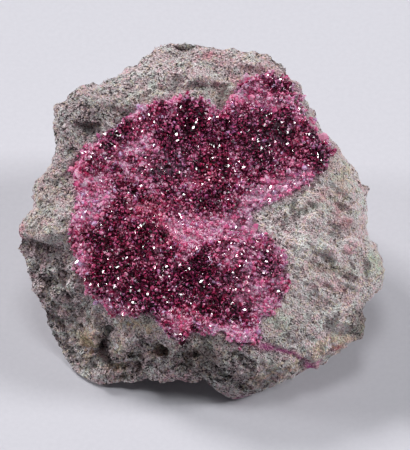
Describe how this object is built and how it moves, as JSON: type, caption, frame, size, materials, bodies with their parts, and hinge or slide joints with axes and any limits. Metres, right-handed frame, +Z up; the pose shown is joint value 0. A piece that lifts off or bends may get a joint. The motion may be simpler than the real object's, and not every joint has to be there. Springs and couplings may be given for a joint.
{
  "type": "roselite mineral specimen",
  "caption": "Broken lump of granular grey host rock, its tilted upper face lined with a druse of small dark wine-red to pink crystals",
  "frame": {"origin": "middle of the footprint box, on the surface that the specimen rests on", "axes": "+Z up; +X to the right and -Y towards the viewer of the crystal face, which looks forwards and up"},
  "size_m": [0.0798, 0.0716, 0.0462],
  "materials": {
    "matrix": "rough broken granular rock, grey-green and tan with pinkish and dark grains",
    "roselite": "vitreous translucent crystals, wine red to pale pink"
  },
  "bodies": {
    "root": {"matrix_rock": "matrix", "roselite_crust": "roselite"}
  },
  "joints": []
}
